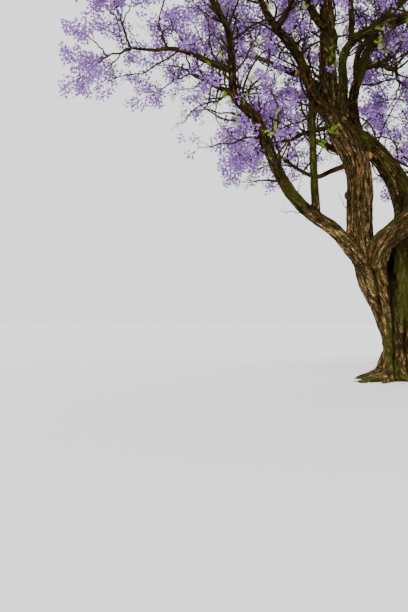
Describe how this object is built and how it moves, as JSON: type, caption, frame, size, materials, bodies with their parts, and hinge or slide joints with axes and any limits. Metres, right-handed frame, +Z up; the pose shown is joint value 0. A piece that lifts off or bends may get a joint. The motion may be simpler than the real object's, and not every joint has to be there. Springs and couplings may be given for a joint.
{
  "type": "jacaranda tree",
  "caption": "Old avenue jacaranda in full lilac blossom, with a leaning fluted trunk, surface roots, crooked mossy boughs and a broad open crown.",
  "frame": {"origin": "the ground mount: the middle of the trunk's flat cut at ground level", "axes": "+Z up; -X towards the side that the trunk leans to, over the road; -Y towards the viewer of the picture"},
  "size_m": [16.6535, 13.1435, 15.8757],
  "materials": {
    "bark": "rough",
    "mossy_bark": "rough",
    "blossom": "matte"
  },
  "bodies": {
    "root": {"back_blossom": "blossom", "back_left_blossom": "blossom", "back_left_offshoot": "mossy_bark", "back_low_blossom": "blossom", "back_low_offshoot": "mossy_bark", "back_offshoot": "mossy_bark", "back_right_blossom": "blossom", "back_right_bough": "mossy_bark", "drooping_blossom": "blossom", "drooping_bough": "mossy_bark", "far_right_blossom": "blossom", "far_right_bough": "mossy_bark", "front_blossom": "blossom", "front_offshoot": "mossy_bark", "high_front_blossom": "blossom", "high_front_offshoot": "mossy_bark", "inner_front_blossom": "blossom", "inner_front_offshoot": "mossy_bark", "inner_right_blossom": "blossom", "inner_right_offshoot": "mossy_bark", "left_back_blossom": "blossom", "left_back_offshoot": "mossy_bark", "left_blossom": "blossom", "left_bough": "mossy_bark", "left_far_blossom": "blossom", "left_far_offshoot": "mossy_bark", "left_front_blossom": "blossom", "left_front_offshoot": "mossy_bark", "left_high_blossom": "blossom", "left_high_bough": "mossy_bark", "left_low_blossom": "blossom", "left_low_offshoot": "mossy_bark", "left_top_blossom": "blossom", "left_top_bough": "mossy_bark", "low_back_blossom": "blossom", "low_back_bough": "mossy_bark", "main_stem": "bark", "middle_back_blossom": "blossom", "middle_back_offshoot": "mossy_bark", "right_back_blossom": "blossom", "right_back_offshoot": "mossy_bark", "right_blossom": "blossom", "right_bough": "bark", "right_front_blossom": "blossom", "right_front_offshoot": "mossy_bark", "right_high_blossom": "blossom", "right_high_bough": "mossy_bark", "right_low_blossom": "blossom", "right_low_offshoot": "mossy_bark", "right_top_blossom": "blossom", "right_top_offshoot": "mossy_bark", "second_stem": "mossy_bark", "spire_blossom": "blossom", "spire_bough": "mossy_bark", "stem_back_blossom": "blossom", "stem_back_offshoot": "mossy_bark", "top_blossom": "blossom", "trunk": "bark", "upright_blossom": "blossom", "upright_bough": "mossy_bark"}
  },
  "joints": []
}
